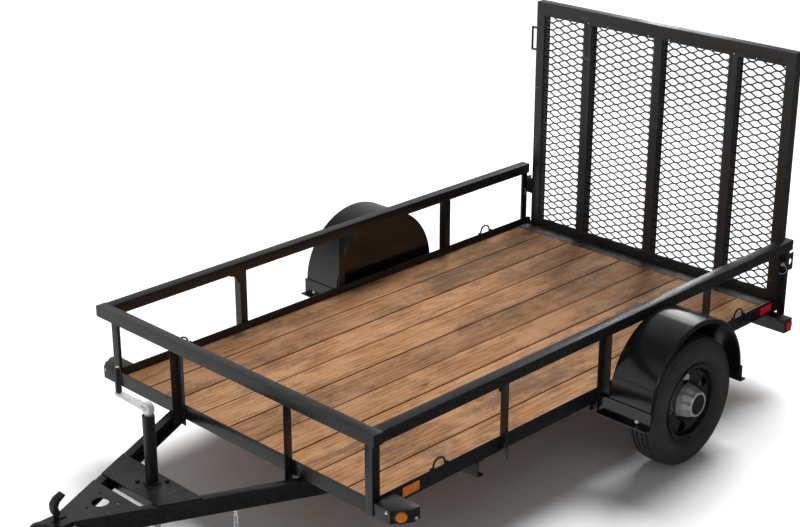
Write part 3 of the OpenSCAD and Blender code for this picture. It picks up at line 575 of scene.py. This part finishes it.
# steel work: the CAD shapes with their edges rounded
softened = {
    "rail_left": (0.004, blackPaint), "rail_right": (0.004, blackPaint), "rail_front": (0.004, blackPaint),
    "frame_side_left": (0.0016, blackPaint), "frame_side_right": (0.0016, blackPaint),
    "frame_front": (0.0016, blackPaint), "frame_rear_sill": (0.0016, wornPaint),
    "posts_left": (0.0013, blackPaint), "posts_right": (0.0013, blackPaint),
    "posts_front": (0.0013, blackPaint),
    "tongue_left": (0.0016, blackPaint), "tongue_right": (0.0016, blackPaint),
    "tongue_crossmember": (0.0016, underPaint), "deck_crossmembers": (0.0016, underPaint),
    "jack_mount": (0.0016, blackPaint), "marker_boxes": (0.002, blackPaint), "tail_bar": (0.003, blackPaint),
    "gate_frame": (0.0014, gatePaint), "coupler_latch": (0.001, underPaint)}


def softenedCopy(name, width, material):
    original = nodes[name]
    clearSelection()
    obj = original.copy()
    obj.data = original.data.copy()
    bpy.context.collection.objects.link(obj)
    body = body_of(original)[0]
    obj.parent = None
    obj.matrix_world = Matrix.Identity(4)
    for key in list(obj.keys()):
        if key.startswith("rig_"):
            del obj[key]
    slotName = next(s["material_slot"] for s in frame["record"]["subparts"] if s["node"] == name)
    pick(obj)
    bpy.ops.object.mode_set(mode="EDIT")
    bpy.ops.mesh.select_all(action="SELECT")
    bpy.ops.mesh.remove_doubles(threshold=0.00001)
    bpy.ops.mesh.dissolve_limited(angle_limit=math.radians(0.5))
    bpy.ops.object.mode_set(mode="OBJECT")
    bevelEdges(obj, width, 2, 40)
    smooth(obj, 30)
    return finishPiece(obj, name + "Steel", material, body, slotName, [name])


for nodeName, (bevelWidth, steelPaint) in softened.items():
    softenedCopy(nodeName, bevelWidth, steelPaint)
print("steel work rounded")

# CAD nodes that keep their shape
keptMaterials = {"axle": underPaint, "springs": underPaint, "spring_fittings": underPaint,
    "coupler": blackPaint, "jack_outer_tube": blackPaint, "jack_leg": zinc,
    "fender_left": fenderPaint, "fender_right": fenderPaint,
    "rim_left": rimPaint, "rim_right": rimPaint, "hub_left": underPaint, "hub_right": underPaint,
    "tie_loops": blackPaint, "gate_handle": gatePaint, "gate_pins": zinc, "safety_chains": zinc,
    "deck_planks": deckWood, "gate_mesh": gateMetal, "jack_crank": zinc, "amber_lenses": amberLens,
    "red_lenses": redLens, "tyre_left": tyreRubber, "tyre_right": tyreRubber, "hub_cap_left": hubSilver,
    "hub_cap_right": hubSilver}
for nodeName, steelPaint in keptMaterials.items():
    for materialSlot in nodes[nodeName].material_slots:
        materialSlot.material = steelPaint

# deck
def makeDeck(s):
    low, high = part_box("deck_planks")
    pitch = 2*s["halfWidth"]/s["planks"]
    rng = random.Random(4)
    planks = []
    for i in range(s["planks"]):
        y0 = -s["halfWidth"] + i*pitch + 0.00125
        top = high.z - rng.uniform(0.0, 0.0012)
        plank = block((low.x, y0, low.z), (high.x, y0 + pitch - 0.0025, top), 0)
        selectFaces(plank, lambda f: True)
        bpy.ops.mesh.subdivide(number_cuts=1)
        bpy.ops.object.mode_set(mode="OBJECT")
        middle = y0 + pitch/2
        for v in plank.data.vertices:       # boards cup a little as they dry
            if v.co.z > (low.z + high.z)/2 and abs(v.co.y - middle) < 0.02:
                v.co.z -= rng.uniform(0.0002, 0.0009)
        bevelEdges(plank, s["edge"], 3, 40)
        planks.append(plank)
    deck = joined(planks)
    smooth(deck, 30)
    return finishPiece(deck, "deckBoards", deckWood, "chassis", "deck_wood", ["deck_planks"])


makeDeck(deckSettings)
print("deck made")

# gate mesh
meshSettings = {"longWay": 0.101, "shortWay": 0.038, "strand": 0.0082, "thick": 0.0030, "bond": 0.017}


def strandLine(y0, y1, s):
    # points of one zigzag strand across a bay: (y, +1 or -1 or between)
    half = s["longWay"]/2
    flat = s["bond"]/2

    def height(y):
        k = math.floor(y/half + 0.5)
        sign = 1 if k % 2 == 0 else -1
        d = abs(y - k*half)
        if d <= flat:
            return sign
        return sign*(1 - (d - flat)/(half/2 - flat))

    marks = {y0, y1}
    k = math.floor(y0/half) - 1
    while k*half < y1 + half:
        for m in (k*half - flat, k*half + flat):
            if y0 < m < y1:
                marks.add(m)
        k += 1
    return [(y, height(y)) for y in sorted(marks)]


def makeMesh(s):
    low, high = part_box("gate_mesh")
    cells = sorted({round(v.co.y, 5) for v in nodes["gate_mesh"].data.vertices})
    bays = list(zip(cells[0::2], cells[1::2]))
    rows = int((high.z - low.z)/(s["shortWay"]/2)) - 1
    step = (high.z - low.z - s["shortWay"]/2 - s["strand"])/rows
    parts = []
    for y0, y1 in bays:
        line = strandLine(y0, y1, s)
        clearSelection()
        bpy.ops.mesh.primitive_grid_add(x_subdivisions=len(line) - 1, y_subdivisions=1, size=1)
        strand = bpy.context.object
        order = sorted(strand.data.vertices, key=lambda v: (round(v.co.x, 5), v.co.y))
        for i, (y, h) in enumerate(line):
            z = low.z + s["shortWay"]/4 + s["strand"]/2 + h*s["shortWay"]/4
            order[2*i].co = (high.x, y, z - s["strand"]/2)
            order[2*i + 1].co = (high.x, y, z + s["strand"]/2)
        selectFaces(strand, lambda f: True)
        bpy.ops.mesh.extrude_region_move(TRANSFORM_OT_translate={"value": (-s["thick"], 0, 0)})
        bpy.ops.object.mode_set(mode="OBJECT")
        fixNormals(strand)
        twin = strand.copy()
        twin.data = strand.data.copy()
        bpy.context.collection.objects.link(twin)
        middle = low.z + s["shortWay"]/4 + s["strand"]/2
        for v in twin.data.vertices:
            v.co.z = 2*middle - v.co.z + step
        pick(twin)
        bpy.ops.object.mode_set(mode="EDIT")
        bpy.ops.mesh.select_all(action="SELECT")
        bpy.ops.mesh.flip_normals()
        bpy.ops.object.mode_set(mode="OBJECT")
        pair = joined([strand, twin])
        array = pair.modifiers.new("Rows", "ARRAY")
        array.use_relative_offset = False
        array.use_constant_offset = True
        array.constant_offset_displace = (0, 0, 2*step)
        array.count = (rows + 1)//2
        applyModifiers(pair)
        parts.append(pair)
    sheet = joined(parts)
    return finishPiece(sheet, "gateMeshSheet", gateMetal, "gate", "dark_steel", ["gate_mesh"])


makeMesh(meshSettings)
print("gate mesh made")

# wheels
wheelSettings = {"steps": 144, "radius": 0.306, "tread": 0.0062}


def makeTyre(s):
    low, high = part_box("tyre_left")
    centre = (low + high)/2
    outer = [(306, 0), (306, 9), (299.5, 10), (299.5, 16), (305.8, 17), (305.5, 32), (299, 33), (299, 39.5),
        (304.6, 40.5), (302.5, 53), (298.5, 59.5), (293.5, 64.5), (286, 69), (284.8, 71.5), (279, 74),
        (277.6, 73.6), (266, 79.2), (257, 82.6), (246, 86), (235.5, 87.6), (224, 86.4), (212.5, 82.2),
        (204.5, 76), (203, 76.6), (200.5, 75), (199.5, 72), (194, 67), (191.5, 67.4), (188, 65.5),
        (185.5, 61.5),
        (183.5, 59.5), (179, 58.5), (166, 56.6), (165.3, 50), (165.3, 40)]
    inner = [(176, 38), (190, 48), (204, 60), (222, 70), (240, 70), (256, 64), (276, 52), (288, 38),
        (290, 0)]
    half = outer + inner[:-1]
    loop = [(r*mm, y*mm) for r, y in half] + [(inner[-1][0]*mm, 0)]
    loop += [(r*mm, -y*mm) for r, y in reversed(half[1:])]
    tyre = turned(loop, centre, "Y", s["steps"])
    stepAngle = math.tau/s["steps"]

    def notch(face):
        c = face.center - centre
        r = math.hypot(c.x, c.z)
        if r < 0.2965 or abs(c.y) > 0.0535:
            return False
        k = int((math.atan2(c.z, c.x) + math.pi)/stepAngle)
        side = abs(c.y)
        if side > 0.0405:
            return k % 3 == (0 if c.y > 0 else 1)
        if 0.017 < side < 0.032:
            return k % 6 == (1 if c.y > 0 else 4)
        return False

    selectFaces(tyre, notch)
    bpy.ops.mesh.inset(thickness=0.0022, use_even_offset=True)
    bpy.ops.mesh.extrude_region_shrink_fatten(
        TRANSFORM_OT_shrink_fatten={"value": -s["tread"]*0.75})
    bpy.ops.object.mode_set(mode="OBJECT")
    smooth(tyre, 28)
    finishPiece(tyre, "tyreLeftRubber", tyreRubber, "wheel_left", "tyre_rubber", ["tyre_left"])
    mirrored(tyre, "tyreRightRubber", "wheel_right", ["tyre_right"])


makeTyre(wheelSettings)

capSettings = {"flutes": 9, "steps": 126, "depth": 0.11}


def makeHubCap(s):
    low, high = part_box("hub_cap_left")
    centre = Vector(((low.x + high.x)/2, low.y, (low.z + high.z)/2))
    deep = high.y - low.y
    h = deep/mm
    out = [(81, 0.5), (81.6, 4), (80.5, 10), (78, 24), (75.5, 38), (72, 50), (67.5, 62), (63.5, 72),
        (61, 82), (59.5, h - 6), (57, h - 2), (54, h - 0.3), (50.5, h - 0.3), (48.8, h - 1.6), (48.2, h - 6)]
    back = [(46, h - 8), (54, h - 14), (58, 66), (66, 52), (72, 28), (77, 0.5)]
    loop = [(r*mm, y*mm) for r, y in out + back]
    cap = turned(loop, (0, 0, 0), "Y", s["steps"])
    for v in cap.data.vertices:
        r = math.hypot(v.co.x, v.co.z)
        t = math.atan2(v.co.z, v.co.x)
        if r > 0.0565 and 0.006 < v.co.y < deep - 0.004:
            rise = min(1, (v.co.y - 0.006)/0.02)*min(1, (deep - 0.004 - v.co.y)/0.012)
            wave = abs(math.cos(s["flutes"]*t/2))**0.7
            k = 1 - s["depth"]*(1 - wave)*rise*1.5
            v.co.x *= k
            v.co.z *= k
    cap.data.transform(Matrix.Translation(centre))
    smooth(cap, 40)
    finishPiece(cap, "hubCapLeftShell", hubSilver, "wheel_left", "hub_silver", ["hub_cap_left"])
    mirrored(cap, "hubCapRightShell", "wheel_right", ["hub_cap_right"])
    face = [(0, h - 1), (38, h - 1.2), (44, h - 1.6), (48, h - 3), (48, h - 9), (0, h - 9)]
    lid = turned([(r*mm, y*mm) for r, y in face], centre, "Y", 64)
    smooth(lid, 40)
    finishPiece(lid, "hubLidLeft", blackPlastic, "wheel_left", "rim_paint")
    mirrored(lid, "hubLidRight", "wheel_right")
    # the valve
    low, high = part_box("rim_left")
    middle = (low + high)/2
    stem = turned([(0, 0), (3.6*mm, 0), (3.8*mm, 12*mm), (2.6*mm, 14*mm), (2.6*mm, 22*mm), (3.4*mm, 23*mm),
        (3.4*mm, 31*mm), (2.4*mm, 32*mm), (0, 32*mm)],
        middle + Vector((0.129*math.cos(1.9), 0.046, 0.129*math.sin(1.9))), (-0.1, 0.97, -0.25), 16)
    finishPiece(stem, "valveLeft", blackPlastic, "wheel_left", "rim_paint")
    mirrored(stem, "valveRight", "wheel_right")


makeHubCap(capSettings)
print("wheels made")

# lamps
lampSettings = {"round": 0.024, "bezel": 0.0305}


def makeRoundLamp(place, axis, name, lens, slotName, replaced=()):
    r = lampSettings["round"]
    lensShape = [(0, 9.5), (r/mm*0.35, 9.3), (r/mm*0.7, 8), (r/mm*0.92, 5.6), (r/mm, 3),
        (r/mm, 0.4), (0, 0.4)]
    dome = turned([(a*mm, b*mm) for a, b in lensShape], place, axis, 40)
    smooth(dome, 40)
    finishPiece(dome, name + "Lens", lens, "chassis", slotName, replaced)
    b = lampSettings["bezel"]/mm
    ringShape = [(r/mm + 0.2, 0.3), (r/mm + 0.2, 4.4), (r/mm + 1.4, 5.6), (b - 2, 4.6), (b, 2.2), (b, 0.3)]
    ring = turned([(a*mm, c*mm) for a, c in ringShape], place, axis, 48)
    smooth(ring, 40)
    finishPiece(ring, name + "Grommet", blackPlastic, "chassis", "tyre_rubber")
    return dome, ring


def makeReflector(low, high, name, lens, slotName):
    # flat reflector in a shallow tray
    body = block(low, high, 0.0012, 2)
    selectFaces(body, lambda f: f.normal.y > 0.95)
    bpy.ops.mesh.inset(thickness=0.003)
    bpy.ops.mesh.extrude_region_move(TRANSFORM_OT_translate={"value": (0, -0.0012, 0)})
    bpy.ops.object.mode_set(mode="OBJECT")
    finishPiece(body, name, lens, "chassis", slotName)
    mirrored(body, name + "Far", "chassis")


def makeLamps():
    half = 830
    boxOut, cut, chamfer = half + 148, 53, 72
    axis = Vector((cut, chamfer, 0)).normalized()
    place = at(2847 - chamfer/2, boxOut - cut/2, 29)
    dome, ring = makeRoundLamp(place, axis, "markerLeft", amberLens, "amber_plastic", ["amber_lenses"])
    mirrored(dome, "markerRightLens", "chassis")
    mirrored(ring, "markerRightBezel", "chassis")
    endPlace = Vector((at(73.5, 0, 0).x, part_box("tail_bar")[1].y, at(0, 0, -34).z))
    dome, ring = makeRoundLamp(endPlace, Vector((0, 1, 0)), "tailLeft", redLens, "red_plastic",
        ["red_lenses"])
    mirrored(dome, "tailRightLens", "chassis")
    mirrored(ring, "tailRightBezel", "chassis")
    makeReflector(at(2591, 830.2, 16), at(2684, 836, 56), "sideReflectorAmber", amberLens, "amber_plastic")
    makeReflector(at(73, 830.2, 16), at(169, 836, 56), "sideReflectorRed", redLens, "red_plastic")
    # stop lamp on the back of the light bar
    lamp = block(at(30.2, 763, -60), at(41.8, 918, -14), 0.003, 3)
    selectFaces(lamp, lambda f: f.normal.x < -0.95)
    bpy.ops.mesh.inset(thickness=0.004)
    bpy.ops.mesh.extrude_region_move(TRANSFORM_OT_translate={"value": (0.002, 0, 0)})
    bpy.ops.object.mode_set(mode="OBJECT")
    finishPiece(lamp, "stopLampLeft", redLens, "chassis", "red_plastic")
    mirrored(lamp, "stopLampRight", "chassis")
    screws = joined([hexHead(at(2847.1, 908, 44), (1, 0, 0), 0.010, 0.004),
        hexHead(at(2756, boxOut + 0.1, 14), (0, 1, 0), 0.010, 0.004)])
    finishPiece(screws, "boxScrewsLeft", zinc, "chassis", "bare_steel")
    mirrored(screws, "boxScrewsRight", "chassis")


makeLamps()
print("lamps made")

# jack crank
def makeCrank():
    low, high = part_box("jack_crank")
    tubeLow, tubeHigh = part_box("jack_outer_tube")
    jackX, jackY, top = (tubeLow.x + tubeHigh.x)/2, (tubeLow.y + tubeHigh.y)/2, tubeHigh.z
    base = top + 0.023          # underside of the arm
    # channel arm: a tapered bar, hollowed from below
    arm = block((jackX - 0.020, jackY - 0.202, base), (jackX + 0.020, jackY, base + 0.014), 0)
    for v in arm.data.vertices:
        if v.co.y < jackY - 0.1:
            v.co.x = jackX + (v.co.x - jackX)*0.65
    selectFaces(arm, lambda f: f.normal.z < -0.9)
    bpy.ops.mesh.inset(thickness=0.0028)
    bpy.ops.mesh.extrude_region_move(TRANSFORM_OT_translate={"value": (0, 0, 0.011)})
    bpy.ops.object.mode_set(mode="OBJECT")
    bevelEdges(arm, 0.0009, 2)
    smooth(arm, 30)
    finishPiece(arm, "crankArm", zinc, "jack_handle", "bare_steel", ["jack_crank"])
    z = top + 0.031
    half = [(27, 10), (26.2, 13.6), (23.5, 15), (20, 14.2), (8, 15), (7.4, 17.2), (4.5, 18.8), (0, 18.9)]
    shape = [(r*mm, -x*mm) for r, x in reversed(half)] + [(r*mm, x*mm) for r, x in half]
    knob = turned(shape, (jackX, jackY, z), "X", 48)
    smooth(knob, 35)
    finishPiece(knob, "crankHead", zinc, "jack_handle", "bare_steel")
    neck = turned([(0, 0), (9*mm, 0), (9*mm, 40*mm), (15*mm, 41*mm), (15*mm, 50*mm), (12*mm, 54*mm),
        (0, 54*mm)], (jackX, jackY, top - 0.040), "Z", 32)
    smooth(neck, 35)
    finishPiece(neck, "crankNeck", zinc, "jack_handle", "bare_steel")
    gripY = jackY - 0.190
    base += 0.014
    top = high.z
    profile = [(0, 0), (10.5*mm, 0), (12.6*mm, 2*mm)]
    rings = 9
    span = top - base - 0.012
    for i in range(rings):
        z0 = 0.004 + span*i/rings
        profile += [(13*mm, z0), (13*mm, z0 + span/rings*0.68), (12.2*mm, z0 + span/rings*0.78),
            (12.2*mm, z0 + span/rings*0.92)]
    profile += [(13*mm, span + 0.004), (12*mm, span + 0.009), (0, span + 0.01)]
    grip = turned(profile, (jackX, gripY, base), "Z", 32)
    smooth(grip, 35)
    finishPiece(grip, "crankGrip", blackPlastic, "jack_handle", "black_paint")
    cap = turned([(0, 0), (7*mm, 0), (7*mm, 1.2*mm), (4*mm, 1.9*mm), (0, 1.9*mm)],
        (jackX, gripY, top - 0.002), "Z", 24)
    finishPiece(cap, "crankCap", palePlastic, "jack_handle", "bare_steel")


makeCrank()
print("crank made")

# bolts, welds and pin rings
def makeHardware():
    jackLow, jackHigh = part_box("jack_outer_tube")
    jackX, jackY = (jackLow.x + jackHigh.x)/2, (jackLow.y + jackHigh.y)/2
    plateTop = at(0, 0, 6.1).z
    apart = 0.042                       # each plate bolt from the tube's centre
    corners = ((1, 1), (-1, 1), (-1, -1), (1, -1))
    places = [Vector((jackX + a*apart, jackY + b*apart, plateTop)) for a, b in corners]
    bolts = repeated(hexHead(places[0], (0, 0, 1), 0.016, 0.007), places)
    finishPiece(bolts, "jackBolts", underPaint, "chassis", "dark_steel")
    bead = turned([((38.2 + 3.2*math.cos(a))*mm, (6.2 + 3.0*math.sin(a))*mm) for a in
        [math.pi*k/6 for k in range(7)]] + [(35*mm, 6.2*mm)], (jackX, jackY, at(0, 0, 0).z), "Z", 72)
    rng = random.Random(2)
    for v in bead.data.vertices:
        v.co.z += rng.uniform(-0.0004, 0.0004) if v.co.z > at(0, 0, 6.6).z else 0
    smooth(bead, 60)
    finishPiece(bead, "jackWeld", blackPaint, "chassis", "black_paint")
    out = Vector((math.sin(math.radians(25)), math.cos(math.radians(25)), 0))
    side = hexHead(at(3690, 51.5, -28), out, 0.018, 0.008)
    finishPiece(side, "couplerBoltLeft", zinc, "chassis", "bare_steel")
    mirrored(side, "couplerBoltRight", "chassis")
    brace = hexHead(at(1441.4, 1042, -30), (1, 0, 0), 0.014, 0.006)
    finishPiece(brace, "fenderBoltsLeft", zinc, "chassis", "bare_steel")
    mirrored(brace, "fenderBoltsRight", "chassis")
    # wire ring that hangs from each gate pin
    clearSelection()
    bpy.ops.mesh.primitive_torus_add(major_radius=0.024, minor_radius=0.0013, major_segments=40,
        minor_segments=8, rotation=(0, math.radians(82), math.radians(18)), location=at(24, 844, 226))
    ring = bpy.context.object
    applyTransform(ring)
    smooth(ring, 60)
    finishPiece(ring, "pinRingLeft", zinc, "chassis", "bare_steel")
    mirrored(ring, "pinRingRight", "chassis")


makeHardware()
print("hardware made")

# camera, floor and light
cameraSettings = {"focal": 1636.3, "frame": 800, "yaw": 0.780, "pitch": 0.379,
    "place": (6695.3, 4801.7, 3254.0), "shift": -0.0035}


def makeCamera(s):
    clearSelection()
    bpy.ops.object.camera_add(location=at(*s["place"]))
    camera = bpy.context.object
    look = Vector((-math.cos(s["yaw"])*math.cos(s["pitch"]), -math.sin(s["yaw"])*math.cos(s["pitch"]),
        -math.sin(s["pitch"])))
    camera.rotation_euler = look.to_track_quat("-Z", "Y").to_euler()
    camera.data.sensor_width = 36
    camera.data.lens = s["focal"]/s["frame"]*36
    camera.data.shift_x = s["shift"]
    camera.data.clip_end = 200
    bpy.context.scene.camera = camera


makeCamera(cameraSettings)

clearSelection()
bpy.ops.mesh.primitive_plane_add(size=90, location=(0, 0, 0))
floor = bpy.context.object
floor.name = "studioFloor"
floorPaint, _, floorShader, _ = newMaterial("floorPaint")
floorShader.inputs["Base Color"].default_value = (0.9, 0.9, 0.9, 1)
floorShader.inputs["Roughness"].default_value = 0.85
floor.data.materials.append(floorPaint)
floor.visible_glossy = False

world = bpy.data.worlds.new("studio")
world.use_nodes = True
sky = world.node_tree
skyWay = node(sky, "ShaderNodeTexCoord").outputs["Generated"]
# what the paint mirrors: pale low down ahead of the trailer, a softer glow behind it
skySettings = {"base": 0.07, "glows": (((0.78, -0.56, -0.28), 0.45, 0.85),
    ((-0.66, -0.65, 0.37), 0.55, 0.42), ((0.62, 0.35, 0.7), 0.6, 0.3))}
strength = skySettings["base"]
for way, edge, power in skySettings["glows"]:
    panel = node(sky, "ShaderNodeVectorMath", {0: skyWay, 1: way}, operation="DOT_PRODUCT")
    glow = node(sky, "ShaderNodeMapRange", {0: panel.outputs["Value"], 1: edge, 2: 1.0, 3: 0.0, 4: power})
    strength = maths(sky, "ADD", glow.outputs[0], strength)
sky.links.new(strength, sky.nodes["Background"].inputs[1])
sky.nodes["Background"].inputs[0].default_value = (1, 1, 1, 1)
bpy.context.scene.world = world


def makeSun(direction, strength, angle):
    clearSelection()
    bpy.ops.object.light_add(type="SUN", location=(0, 0, 6))
    sun = bpy.context.object
    sun.data.energy = strength
    sun.data.angle = angle
    sun.rotation_euler = Vector(direction).to_track_quat("-Z", "Y").to_euler()
    sun.visible_glossy = False          # the panels give the highlights


makeSun((0.66, 0.32, -1.0), 4.75, 0.55)


def makePanel(place, target, size, power):
    clearSelection()
    bpy.ops.object.light_add(type="AREA", location=place)
    panel = bpy.context.object
    panel.data.shape = "RECTANGLE"
    panel.data.size, panel.data.size_y = size
    panel.data.energy = power
    panel.rotation_euler = (Vector(target) - Vector(place)).to_track_quat("-Z", "Y").to_euler()


makePanel((-5.0, -2.0, 2.6), (0, 0, 0.4), (0.7, 3.2), 45)
makePanel((1.0, 6.0, 1.6), (0, 0, 0.4), (3.0, 0.5), 12)
bpy.context.scene.view_settings.view_transform = "Standard"
print("studio made")
